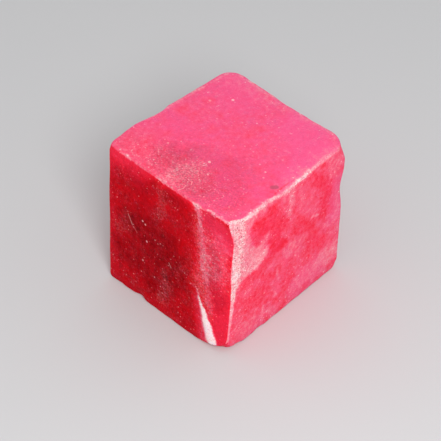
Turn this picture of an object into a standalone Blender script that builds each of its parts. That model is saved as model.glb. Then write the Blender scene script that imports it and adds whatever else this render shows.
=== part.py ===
"""Ruby crystal: one cloudy, blocky stone with six flat sides, about 15 mm across.

Metres, +Z up. It stands on its flat underside, centred on the origin. South is -Y and east is +X.
The stone starts as an even block of faces, whose columns and rows are bent to run along the creases
of its sides. Its edges are worn round, its sides are set back from crease to crease, and it is
leaned to its six sides. Last, its facets are ground flat, and it is swollen and dented.
"""

import math

import bmesh
import bpy
from mathutils import Matrix, Vector, noise

NAME = "ruby_crystal"
MM = 0.001

# All lengths from here on are in millimetres, and all angles in degrees.
# Each side: its axis, which way it faces, how far out it stands from the foot of the stone's axis,
# and how far it leans towards the two other axes in turn.
SIDES = {
    "west": (0, -1, 7.23, 0.35, 0.62),
    "east": (0, 1, 7.10, 1.55, -0.97),
    "south": (1, -1, 7.87, 0.04, 3.01),
    "north": (1, 1, 7.88, 1.29, 0.48),
    "base": (2, -1, 0.0, 0.0, 0.0),
    "top": (2, 1, 15.40, 0.96, 0.61),
}

# The block before it leans, and its grid of faces. A place on the grid runs from -1 to 1.
HALF_WIDTH = 7.2
HALF_DEPTH = 7.6
HEIGHT = 15.4
GRID = 24  # faces along each edge
CROWDING = 0.93  # how far the faces crowd towards the edges, from 0 to 1
STEP = 2 / GRID

# The creases of each upright side, from one end to the other. Each keeps to one column of the
# grid, whose place comes first. Its points, from the foot up, give the height, how far across the
# side it lies there, and how far the side is set back there. Between creases a side is straight.
WEST_END = ((0, -HALF_WIDTH, 0),)
EAST_END = ((0, HALF_WIDTH, 0),)
SOUTH_END = ((0, -HALF_DEPTH, 0),)
NORTH_END = ((0, HALF_DEPTH, 0),)
SPLINTER = ((0, 5.10, 0), (2.7, 4.40, 0), (6.1, 4.00, 0), (HEIGHT, 2.60, 0))
FOLD = ((0, 6.55, 0.16), (1.1, 6.25, 0.32), (3.1, 5.35, 0.23), (6.8, 4.65, 0), (HEIGHT, 3.50, 0))
FRONT_EDGE = (
    (0, HALF_WIDTH, 0.05),
    (1.4, HALF_WIDTH, 0.36),
    (3.0, HALF_WIDTH, 0.50),
    (12.3, HALF_WIDTH, 0.50),
    (13.7, HALF_WIDTH, 0.25),
    (HEIGHT, HALF_WIDTH, 0),
)
NORTH_LIP = ((0, 1.70, 0), (HEIGHT, -1.38, 0))
NORTH_LEDGE = ((0, 1.95, 0), (5, 0.95, 0.04), (9, 0.15, 0.12), (HEIGHT, -1.13, 0.16))
NORTH_LEVEL = ((0, 4.80, 0), (HEIGHT, 2.60, 0))
WEST_LIP = ((0, 2.60, 0), (HEIGHT, -0.52, 0))
WEST_LEDGE = ((0, 2.85, 0), (5, 1.80, -0.04), (9, 1.00, -0.12), (HEIGHT, -0.27, -0.17))
CREASES = {
    "south": {-1: WEST_END, 5 * STEP: SPLINTER, 7 * STEP: FOLD, 1: FRONT_EDGE},
    "east": {-1: SOUTH_END, 1: NORTH_END},
    "north": {-1: WEST_END, -STEP: NORTH_LIP, 0: NORTH_LEDGE, 4 * STEP: NORTH_LEVEL, 1: EAST_END},
    "west": {-1: SOUTH_END, 0: WEST_LIP, STEP: WEST_LEDGE, 1: NORTH_END},
}
SKIN = 1.5  # how far under a side its creases still move the stone

# A ledge that runs around the west and north sides. Its lip keeps to the grid's middle row. Its
# height is given at the foot's four corners, and how far it steps in is given along each side.
LEDGE_HEIGHTS = (("south", 3.4, 7.7), ("north", 10.4, 5.2))  # at the side's west and east ends
LEDGE_DROP = 0.25
LEDGE_DEPTHS = {
    "west": ((-HALF_DEPTH, 0), (-2.5, 0.22), (HALF_DEPTH, 0.34)),
    "north": ((-HALF_WIDTH, 0.34), (2.5, 0.24), (HALF_WIDTH, 0)),
}

# The rounding of each upright edge in plan, at its top, along its middle and at its foot.
UPRIGHTS = {
    ("west", "south"): (0.6, 0.28, 0.4),
    ("east", "south"): (0.3, 0.20, 1.6),
    ("east", "north"): (1.6, 0.30, 0.9),
    ("west", "north"): (1.7, 0.45, 1.2),
}
TAPER = 1.3  # an end's rounding runs out over this many times its radius
TOP_RIM = 0.20
FOOT_RIM = 0.28
WORN_TOE = 1.25  # the rim under the east-south corner, which is worn away
TOE_REACH = 3.6

# Facets that cut the stone flat, by three points in each.
FACETS = {
    "front band": ((7.47, -5.0, 12.6), (7.40, -7.0, 1.2), (7.34, -6.7, 12.4)),
    "front tip": ((7.50, -4.5, 15.33), (7.44, -5.3, 12.2), (7.08, -7.05, 15.36)),
    "brow": ((7.47, -4.0, 15.08), (7.17, 7.0, 15.05), (7.23, -4.0, 15.32)),
}
ON_CUT = 0.01  # a corner this near a cut counts as on it

# Swellings and dents: the middle, the way it is pushed, how far it reaches along the three axes,
# and how far it is pushed.
SWELLINGS = (
    ((-7.1, -3.9, 15.4), (-1, 0, 0), (3.0, 3.0, 5.0), 0.30),
    ((7.0, 7.6, 10.0), (-1, -1, 0), (2.2, 2.2, 2.6), 0.26),
    ((-3.2, -7.85, 0.2), (0, 1, 0), (0.9, 1.5, 1.2), 0.20),
    ((7.35, -3.2, 0.2), (-1, 0, 0), (1.5, 0.9, 1.2), 0.12),
    ((7.40, -3.9, 9.4), (-1, 0, 0), (1.0, 1.7, 2.4), 0.10),
    ((-7.2, 4.6, 3.0), (1, 0, 0), (1.6, 2.8, 2.4), 0.35),
    ((5.2, 7.9, 15.4), (0, 1, 0), (2.2, 2.0, 3.0), 0.13),
    ((4.2, 7.9, 2.6), (0, -1, 0), (2.4, 1.4, 2.0), 0.30),
    ((-7.2, 7.8, 5.5), (1, -1, 0), (1.6, 1.6, 2.6), 0.40),
)

WAVE = 0.05  # how far the sides wander from flat
WAVE_SIZE = 4.0
LEVEL = 0.9999  # a face counts as level where its normal's height is past this
SHARP = 18  # two faces that turn more than this from each other meet in a sharp edge


def ease(share):
    """A smooth step from 0 to 1."""
    share = min(max(share, 0.0), 1.0)
    return share * share * (3 - 2 * share)


def read(line, at):
    """Reads a line of (place, value, ...) points at a place. Past its ends it stays level."""
    if at <= line[0][0]:
        return line[0][1:]
    for (low, *before), (high, *after) in zip(line, line[1:]):
        if at <= high:
            share = (at - low) / (high - low)
            return [first + (last - first) * share for first, last in zip(before, after)]
    return line[-1][1:]


def side_plane(side):
    """The way a side faces, and how far out it stands."""
    axis, way, reach, *leans = SIDES[side]
    normal = Vector((0, 0, 0))
    normal[axis] = way
    for other, lean in zip([i for i in range(3) if i != axis], leans):
        normal[other] = math.tan(math.radians(lean))
    return normal.normalized(), reach


def corner(*sides):
    """Where three sides meet."""
    normals, reaches = zip(*(side_plane(side) for side in sides))
    return Matrix(normals).inverted() @ Vector(reaches)


def crowded(place):
    """Moves a place nearer to its end of the grid, so that the edges get finer faces."""
    quarter = CROWDING * math.pi / 2
    return math.sin(place * quarter) / math.sin(quarter)


def column(side, place, height):
    """How far across a side a column of the grid lies at a height, and how deep it is set."""
    creases = [(crowded(at), *read(crease, height)) for at, crease in CREASES[side].items()]
    return read(creases, crowded(place))


def row(place, east, north):
    """The height of a row of the grid, and its share of the ledge's depth."""
    ends = [(-1, *LEDGE_HEIGHTS[0][1:]), (1, *LEDGE_HEIGHTS[1][1:])]
    lip, = read([(-1, read(ends, north)[0]), (1, read(ends, north)[1])], east)
    rows = [(-1, 0, 0), (crowded(-STEP), lip - LEDGE_DROP, 1), (0, lip, 0), (1, HEIGHT, 0)]
    return read(rows, crowded(place))


def round_rim(inset, drop, radius):
    """Turns the sharp rim, where inset or drop is 0, into an arc."""
    if inset >= radius or drop >= radius:
        return inset, drop
    across = radius - inset
    down = radius - drop
    length = math.hypot(across, down)
    return radius - across * radius / length, radius - down * radius / length


def upright_radius(edge, z):
    """How far an upright edge is rounded at a height."""
    top, middle, foot = UPRIGHTS[edge]
    at_top = ease(1 - (HEIGHT - z) / (TAPER * top))
    at_foot = ease(1 - z / (TAPER * foot))
    return middle + (top - middle) * at_top + (foot - middle) * at_foot


def foot_radius(x, y):
    """How far the foot's rim is rounded at a place."""
    away = math.hypot(x - HALF_WIDTH, y + HALF_DEPTH)
    return FOOT_RIM + (WORN_TOE - FOOT_RIM) * ease(1 - away / TOE_REACH)


def worn(x, y, z):
    """Where a point of the sharp block lies once its edges are worn."""
    sharp_inset = min(HALF_WIDTH - abs(x), HALF_DEPTH - abs(y))
    inset, drop = round_rim(sharp_inset, HEIGHT - z, TOP_RIM)
    inset, rise = round_rim(inset, HEIGHT - drop, foot_radius(x, y))
    edge = ("east" if x > 0 else "west", "north" if y > 0 else "south")
    radius = upright_radius(edge, z)
    across = abs(x) - (HALF_WIDTH - radius)
    along = abs(y) - (HALF_DEPTH - radius)
    if across > 0 and along > 0:
        scale = (radius - inset) / math.hypot(across, along)
        across *= scale
        along *= scale
    elif HALF_WIDTH - abs(x) <= sharp_inset:
        across += sharp_inset - inset
    else:
        along += sharp_inset - inset
    x = math.copysign(HALF_WIDTH - radius + across, x)
    y = math.copysign(HALF_DEPTH - radius + along, y)
    return Vector((x, y, rise))


def block_point(place):
    """Where a place on the grid lies on the worn block, with its sides set back."""
    east, north, _ = map(crowded, place)
    height, stepped = row(place.z, east, north)
    columns = {side: column(side, place[side in ("west", "east")], height) for side in CREASES}
    x, = read([(-1, columns["south"][0]), (1, columns["north"][0])], north)
    y, = read([(-1, columns["west"][0]), (1, columns["east"][0])], east)
    point = worn(x, y, height)
    for side, (_, depth) in columns.items():
        axis, way = SIDES[side][:2]
        under = (HALF_WIDTH, HALF_DEPTH)[axis] - way * (x, y)[axis]
        if side in LEDGE_DEPTHS:
            depth += stepped * read(LEDGE_DEPTHS[side], (y, x)[axis])[0]
        point[axis] -= way * depth * ease(1 - under / SKIN)
    return point


def leaned(point, corners):
    """Takes a point of the upright block to the stone's leaning sides."""
    east = (point.x / HALF_WIDTH + 1) / 2
    north = (point.y / HALF_DEPTH + 1) / 2
    up = point.z / HEIGHT
    rows = [low.lerp(high, up) for low, high in corners]
    return rows[0].lerp(rows[1], east).lerp(rows[2].lerp(rows[3], east), north)


def grind(stone, points):
    """Grinds the stone flat on the plane through three points."""
    first, second, third = map(Vector, points)
    normal = (second - first).cross(third - first).normalized()
    if normal.dot(first - Vector((0, 0, HEIGHT / 2))) < 0:
        normal.negate()
    everything = stone.verts[:] + stone.edges[:] + stone.faces[:]
    bmesh.ops.bisect_plane(
        stone, geom=everything, dist=ON_CUT, plane_co=first, plane_no=normal
    )
    for vert in stone.verts:
        proud = (vert.co - first).dot(normal)
        if proud > 0:
            vert.co -= normal * proud


def swell(point):
    """How far the swellings and dents push a point."""
    push = Vector((0, 0, 0))
    for middle, way, reach, height in SWELLINGS:
        away = math.hypot(*((a - b) / r for a, b, r in zip(point, middle, reach)))
        push += Vector(way).normalized() * (height * ease(1 - away))
    return push


def make_stone():
    """The stone as a closed mesh, in millimetres."""
    stone = bmesh.new()
    bmesh.ops.create_cube(stone, size=2)
    bmesh.ops.subdivide_edges(stone, edges=stone.edges[:], cuts=GRID - 1, use_grid_fill=True)
    corners = [
        (corner("base", ns, ew), corner("top", ns, ew))
        for ns in ("south", "north")
        for ew in ("west", "east")
    ]
    for vert in stone.verts:
        vert.co = leaned(block_point(vert.co), corners)
    for points in FACETS.values():
        grind(stone, points)
    stone.normal_update()
    for vert in stone.verts:
        wander = WAVE * noise.noise(vert.co / WAVE_SIZE) * ease(vert.co.z)
        vert.co += vert.normal * wander + swell(vert.co)
    return stone


def flatten_base(stone):
    """Makes the underside one flat face at height 0."""
    base = [face for face in stone.faces if face.normal.z < -LEVEL]
    bmesh.ops.dissolve_faces(stone, faces=base, use_verts=True)


def centre(stone):
    """Puts the middle of the stone's footprint on the origin."""
    for axis in range(2):
        places = [vert.co[axis] for vert in stone.verts]
        middle = (min(places) + max(places)) / 2
        for vert in stone.verts:
            vert.co[axis] -= middle


def ruby():
    """Cloudy red corundum."""
    material = bpy.data.materials.new("ruby")
    material.use_nodes = True
    surface = material.node_tree.nodes["Principled BSDF"]
    surface.inputs["Base Color"].default_value = (0.70, 0.03, 0.08, 1)
    surface.inputs["Roughness"].default_value = 0.45
    surface.inputs["IOR"].default_value = 1.77
    surface.inputs["Subsurface Weight"].default_value = 0.6
    surface.inputs["Subsurface Radius"].default_value = (3.0, 0.3, 0.4)
    surface.inputs["Subsurface Scale"].default_value = MM
    material.diffuse_color = (0.70, 0.03, 0.08, 1)
    return material


def main():
    for old in list(bpy.data.objects):
        bpy.data.objects.remove(old)
    stone = make_stone()
    flatten_base(stone)
    centre(stone)
    bmesh.ops.scale(stone, vec=(MM, MM, MM), verts=stone.verts[:])
    mesh = bpy.data.meshes.new(NAME)
    stone.to_mesh(mesh)
    stone.free()
    mesh.shade_smooth()
    mesh.set_sharp_from_angle(angle=math.radians(SHARP))
    mesh.materials.append(ruby())
    parts = bpy.data.collections.new("Ruby crystal")
    bpy.context.scene.collection.children.link(parts)
    parts.objects.link(bpy.data.objects.new(NAME, mesh))


if __name__ == "__main__":
    main()
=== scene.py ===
"""Ruby crystal: the fine surface, the finish and the stage of a cloudy, blocky ruby.

The stone is a block of faces whose columns and rows follow the creases of its sides. It is worn,
leaned, ground and bitten to shape. Then its coats of colour are laid, with painted shade, glow,
sheen and highlights among them, and its sides get their waves and dents.
"""

import math

import bmesh
import bpy
import numpy
from bpy.props import FloatProperty, FloatVectorProperty, PointerProperty
from mathutils import Matrix, Vector, noise


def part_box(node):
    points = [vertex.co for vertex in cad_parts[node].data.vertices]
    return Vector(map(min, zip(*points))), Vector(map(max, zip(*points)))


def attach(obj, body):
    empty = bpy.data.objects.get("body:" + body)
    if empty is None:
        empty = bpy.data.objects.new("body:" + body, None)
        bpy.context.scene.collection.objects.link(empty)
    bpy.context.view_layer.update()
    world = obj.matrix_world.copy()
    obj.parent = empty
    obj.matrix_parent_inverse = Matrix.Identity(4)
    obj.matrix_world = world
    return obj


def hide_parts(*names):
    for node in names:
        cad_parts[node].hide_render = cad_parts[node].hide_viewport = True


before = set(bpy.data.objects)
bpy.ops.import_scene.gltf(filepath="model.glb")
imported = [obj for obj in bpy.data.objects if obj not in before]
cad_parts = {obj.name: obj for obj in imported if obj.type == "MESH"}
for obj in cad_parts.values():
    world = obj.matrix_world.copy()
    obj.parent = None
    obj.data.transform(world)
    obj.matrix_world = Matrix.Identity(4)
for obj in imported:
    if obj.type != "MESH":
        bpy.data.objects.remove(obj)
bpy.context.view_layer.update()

bl_info = {
    "name": "Ruby crystal",
    "version": (1, 0, 0),
    "blender": (4, 5, 0),
    "location": "View3D > Sidebar > Ruby",
    "description": "Makes a cloudy, blocky ruby crystal and the stage that it stands on",
    "category": "Add Mesh",
}

NODE = "ruby_crystal"
STONE_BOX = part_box(NODE)
MM = 0.001

# All lengths from here on are in millimetres, and all angles in degrees, unless a line says
# otherwise. Each side: its axis, which way it faces, how far out it stands from the foot of the
# stone's axis, and how far it leans towards the two other axes in turn.
SIDES = {
    "west": (0, -1, 7.23, 0.35, 0.62),
    "east": (0, 1, 7.1, 1.55, -0.97),
    "south": (1, -1, 7.87, 0.04, 3.01),
    "north": (1, 1, 7.88, 1.29, 0.48),
    "base": (2, -1, 0.0, 0.0, 0.0),
    "top": (2, 1, 15.4, 0.96, 0.61),
}

# The block before it leans, and its grid of faces. A place on the grid runs from -1 to 1.
HALF_WIDTH = 7.2
HALF_DEPTH = 7.6
HEIGHT = 15.4
STEP = 1 / 12  # the creases keep to columns this far apart
GRID = 120  # faces along each edge
CROWDING = 0.7  # how far the faces crowd towards the edges, from 0 to 1

# The creases of each upright side, from one end to the other. Each keeps to one column of the
# grid, whose place comes first. Its points, from the foot up, give the height, how far across the
# side it lies there, and how far the side is set back there. Between creases a side is straight.
WEST_END = ((0, -HALF_WIDTH, 0),)
EAST_END = ((0, HALF_WIDTH, 0),)
SOUTH_END = ((0, -HALF_DEPTH, 0),)
NORTH_END = ((0, HALF_DEPTH, 0),)
SPLINTER = (
    (0, 5.7, 0),
    (0.8, 5.6, 0),
    (2.4, 5.12, 0),
    (4.1, 4.56, 0),
    (6.1, 3.95, 0),
    (HEIGHT, 2.6, 0),
)
FOLD = ((0, 6.55, 0.16), (1.1, 6.25, 0.32), (3.1, 5.45, 0.27), (6.8, 4.65, 0), (HEIGHT, 3.5, 0))
FRONT_EDGE = (
    (0, HALF_WIDTH, 0.05),
    (1.4, HALF_WIDTH, 0.4),
    (3.0, HALF_WIDTH, 0.52),
    (6.2, HALF_WIDTH, 0.64),
    (9.6, HALF_WIDTH, 0.6),
    (11.1, HALF_WIDTH, 0.66),
    (12.8, HALF_WIDTH, 0.8),
    (14.0, HALF_WIDTH, 0.52),
    (15.0, HALF_WIDTH, 0.18),
    (HEIGHT, HALF_WIDTH, 0.05),
)
NORTH_LIP = ((0, 1.7, 0), (HEIGHT, -1.7, 0))
NORTH_LEDGE = ((0, 1.95, 0), (5, 0.95, 0.04), (9, 0.15, 0.12), (HEIGHT, -0.8, 0.14))
NORTH_LEVEL = ((0, 4.8, 0), (HEIGHT, 2.6, 0))
WEST_LIP = ((0, 2.6, 0), (HEIGHT, -1.2, 0))
WEST_LEDGE = ((0, 2.85, 0), (5, 1.8, -0.04), (9, 1.0, -0.12), (HEIGHT, -0.3, -0.16))
CREASES = {
    "south": {-1: WEST_END, 5 * STEP: SPLINTER, 7 * STEP: FOLD, 1: FRONT_EDGE},
    "east": {-1: SOUTH_END, 1: NORTH_END},
    "north": {-1: WEST_END, -STEP: NORTH_LIP, 0: NORTH_LEDGE, 4 * STEP: NORTH_LEVEL, 1: EAST_END},
    "west": {-1: SOUTH_END, 0: WEST_LIP, STEP: WEST_LEDGE, 1: NORTH_END},
}
SKIN = 1.5  # how far under a side its creases still move the stone

# A ledge that runs around the west and north sides. Its lip keeps to the grid's middle row. Its
# height is given at the foot's four corners, and how far it steps in is given along each side.
LEDGE_HEIGHTS = {"south": (3.4, 7.7), "north": (10.4, 5.2)}  # at the side's west and east ends
LEDGE_DROP = 0.25
LEDGE_DEPTHS = {
    "west": ((-HALF_DEPTH, 0), (-2.5, 0.22), (HALF_DEPTH, 0.34)),
    "north": ((-HALF_WIDTH, 0.34), (2.5, 0.24), (HALF_WIDTH, 0)),
}

# The rounding of each upright edge in plan, at its top, along its middle and at its foot.
UPRIGHTS = {
    ("west", "south"): (0.6, 0.28, 0.4),
    ("east", "south"): (0.3, 0.2, 1.6),
    ("east", "north"): (1.6, 0.3, 0.9),
    ("west", "north"): (1.7, 0.45, 1.2),
}
TAPER = 1.3  # an end's rounding runs out over this many times its radius
TOP_RIM = 0.2
FOOT_RIM = 0.28
WORN_TOE = 1.25  # the rim under the east-south corner, which is worn away
TOE_REACH = 3.6

# Facets that cut the stone flat, by three points in each.
FACETS = {
    "front band": ((7.47, -5.0, 12.6), (7.4, -7.0, 1.2), (7.34, -6.7, 12.4)),
    "front tip": ((7.5, -4.5, 15.33), (7.44, -5.3, 12.2), (7.08, -7.05, 15.36)),
    "brow": ((7.47, -4.0, 15.08), (7.17, 7.0, 15.05), (7.23, -4.0, 15.32)),
}

# Swellings and dents: the middle, the way it is pushed, how far it reaches along the three axes,
# and how far it is pushed.
SWELLINGS = (
    ((-7.1, -3.9, 15.4), (-1, 0, 0), (3.0, 3.0, 5.0), 0.3),
    ((7.0, 7.6, 10.0), (-1, -1, 0), (2.2, 2.2, 2.6), 0.26),
    ((-3.2, -7.85, 0.2), (0, 1, 0), (0.9, 1.5, 1.2), 0.2),
    ((7.35, -3.2, 0.2), (-1, 0, 0), (1.5, 0.9, 1.2), 0.12),
    ((7.4, -3.9, 9.4), (-1, 0, 0), (1.0, 1.7, 2.4), 0.1),
    ((-7.2, 4.6, 3.0), (1, 0, 0), (1.6, 2.8, 2.4), 0.35),
    ((5.2, 7.9, 15.4), (0, 1, 0), (2.2, 2.0, 3.0), 0.13),
    ((4.2, 7.9, 2.6), (0, -1, 0), (2.4, 1.4, 2.0), 0.3),
    ((-7.2, 7.8, 5.5), (1, -1, 0), (1.6, 1.6, 2.6), 0.4),
)

# The wander of the sides, from the broadest waves to the finest that the faces can hold: the size
# of a wave and its height.
WAVES = ((4.0, 0.05), (1.3, 0.014), (0.45, 0.006))
FROST_WAVE = (0.3, 0.022)  # where the stone is frosted, its surface is rougher too
FROST_START = 0.5  # the veil that counts as frost from here up
RIM_WOBBLE = 0.4  # how far the worn rims vary in width, as a share
EDGE_WOBBLE = 0.12  # and the upright edges
WOBBLE_SIZE = 0.9
REST = 8  # how many times the sides that face away are smoothed
REST_PULL = 0.5  # how far that takes a point towards its neighbours each time

# Bites out of the stone: the middle of a ball and its radius. The first two are broad and shallow,
# under the brow and beside the front band. The others are small.
BITES = (
    ((12.97, -0.2, 20.83), 8.2),
    ((22.29, -4.25, 10.05), 15.0),
    ((-3.2, -8.55, -0.55), 0.75),
    ((-2.8, -7.62, 9.5), 0.17),
    ((-2.47, -7.62, 9.29), 0.16),
    ((-2.3, -7.72, 7.42), 0.18),
    ((-7.95, -2.4, 11.2), 0.9),
    ((-7.75, 5.2, 7.0), 0.7),
    ((-8.1, 1.5, 2.0), 1.1),
    ((-2.0, 8.55, 12.3), 1.0),
    ((3.2, 8.3, 5.4), 0.8),
    ((5.4, 8.6, 12.8), 1.2),
    ((1.5, 1.0, -0.62), 0.75),
    ((-4.2, 3.6, -0.5), 0.62),
)

# Four coats give the stone its colour, point by point, each from 0 to 1. The veil goes from
# clear, deep red to white with frost, and is also a painted sheen, thicker on the sides that face
# the key light; the depth is how dark the stone is under it, and on the south side, which faces
# away from the light, it is painted shade; the sparkle is how thickly bright grains and painted
# glints lie in it; the blush turns its pink towards purple, and on the top it is a painted sky
# reflection. Each coat has a value on every side, and clouds of a height given there too.
# Strokes lie over that.
# Painted sheen: the top and east, which face the key light, get a thicker pink veil than the south
# side, which faces away from it.
VEILS_AND_SHEEN = {
    "west": (0.14, 0.08), "east": (0.43, 0.17),
    "south": (0.04, 0.03), "north": (0.38, 0.16),
    "base": (0.24, 0.1), "top": (0.46, 0.06),
}
# Painted shade: the south side, which faces away from the key light, is given the most depth.
DEPTHS_AND_SHADE = {
    "west": (0.3, 0.2), "east": (0.0, 0.0),
    "south": (0.42, 0.16), "north": (0.05, 0.05),
    "base": (0.22, 0.1), "top": (0.0, 0.05),
}
# How thickly bright grains and painted glints lie on each side.
SPARKLES = {
    "west": (0.42, 0.4), "east": (0.12, 0.1),
    "south": (0.42, 0.4), "north": (0.2, 0.2),
    "base": (0.3, 0.3), "top": (0.08, 0.1),
}
# On the top, the blush is a painted sky reflection.
BLUSHES = {
    "west": (0.1, 0.1), "east": (0.1, 0.25),
    "south": (0.0, 0.0), "north": (0.5, 0.3),
    "base": (0.2, 0.1), "top": (0.75, 0.5),
}
CLOUDS = ((1.1, 0.8), (0.45, 0.6))  # the sizes of the clouds and their shares

# A stroke: the value it lays, how much of that it lays, how softly it ends, how ragged its border
# is, and the points that it runs through. A point is a place along its side's two axes, in turn,
# and the stroke's half width there. A stroke along the edges has points in space instead.
SOUTH_VEIL = (
    # The brighter rims, a painted glow of light coming through from the lit sides.
    (0.2, 0.9, 1.2, 0.3, ((-6.9, 15.4, 0.5), (-5.2, 15.3, 0.3), (-3, 15.4, 0.1))),
    (0.12, 0.8, 1, 0.3, ((-3, 15.4, 0.1), (0.5, 15.3, 0), (3.4, 15.2, 0.1))),
    (0.12, 0.7, 1.2, 0.3, ((-7, 13.5, 0.2), (-7, 4.6, 0.1), (-6.9, 1, 0.2))),
    (0.09, 0.7, 1.2, 0.3, ((-6.6, 0.3, 0.2), (-1.7, 0.2, 0.1), (4.4, 0.3, 0.2))),
    # The bright red between the fold and the front edge, a painted glow of light coming through the
    # front corner, and the haze between them.
    (0.24, 0.85, 2, 0.4, ((4.8, 14.6, 0.2), (5.4, 11, 0.7), (5.7, 7.6, 0.8))),
    (0.2, 0.85, 0.9, 0.2, ((5, 14.9, 0.3), (6.1, 14.1, 0.4), (6.9, 12.8, 0.2))),
    (0.42, 0.8, 1.1, 0.4, ((5.8, 12.9, 0.1), (6.1, 11.6, 0.4), (6.1, 9, 0.4))),
    (0.4, 0.6, 0.9, 0.4, ((5.1, 11.6, 0.1), (5.2, 9.6, 0.3), (5.3, 8, 0.2))),
    (0.19, 0.85, 1.3, 0.3, ((6.5, 5.6, 0.4), (6.9, 3, 0.6), (6.9, 0.8, 0.4))),
    (0.07, 0.85, 0.6, 0.3, ((5.7, 6.9, 0.1), (6.3, 6.3, 0.3), (6.4, 5, 0.2))),
    # The fold's own band, from the top down, and the streak under it.
    (0.58, 0.8, 0.12, 0.06, ((3.72, 15.2, 0.05), (3.8, 14.5, 0.06), (3.9, 13.6, 0.04))),
    (0.6, 0.75, 0.3, 0.35, ((3.66, 15.3, 0.07), (3.91, 14.4, 0.13), (4.07, 13.4, 0.15))),
    (0.6, 0.74, 0.34, 0.4, ((4.07, 13.4, 0.15), (4.3, 11.9, 0.18), (4.58, 10.3, 0.2))),
    (0.6, 0.66, 0.45, 0.3, ((4.58, 10.3, 0.2), (4.75, 8.9, 0.22), (4.86, 7.7, 0.05))),
    (0.44, 0.7, 0.35, 0.2, ((4.82, 7.3, 0.08), (5.1, 6.4, 0.1), (5.41, 4.1, 0.05))),
    # The splinter, white with frost down to its foot and painted brighter as a highlight, the
    # painted glow around it, and its tail.
    (0.32, 0.8, 0.8, 0.1, ((4, 4.9, 0.1), (4.7, 2.8, 0.3), (5.1, 0.8, 0.4))),
    (0.52, 0.7, 0.12, 0.1, ((3.07, 6.17, 0.02), (3.52, 6.11, 0.03), (3.88, 5.99, 0.04))),
    (0.7, 0.9, 0.26, 0.1, ((3.86, 5.94, 0.02), (4.18, 5.05, 0.08), (4.66, 3.97, 0.17))),
    (0.76, 0.9, 0.32, 0.08, ((4.66, 3.97, 0.17), (5.1, 2.5, 0.28), (5.68, 0.9, 0.38))),
    (1, 1, 0.16, 0.08, ((4.2, 5.2, 0.02), (4.72, 3.97, 0.12))),
    (1, 1, 0.22, 0.08, ((4.72, 3.97, 0.12), (5.2, 2.5, 0.24), (5.78, 0.9, 0.35))),
    # Soft upright hazes.
    (0.12, 0.6, 0.9, 0.5, ((-0.65, 14, 0), (-0.5, 13.2, 0.1), (-0.72, 11.4, 0))),
    (0.13, 0.6, 0.8, 0.5, ((-0.1, 4.9, 0), (0.16, 4, 0.1), (-0.3, 1.9, 0))),
)
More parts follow.
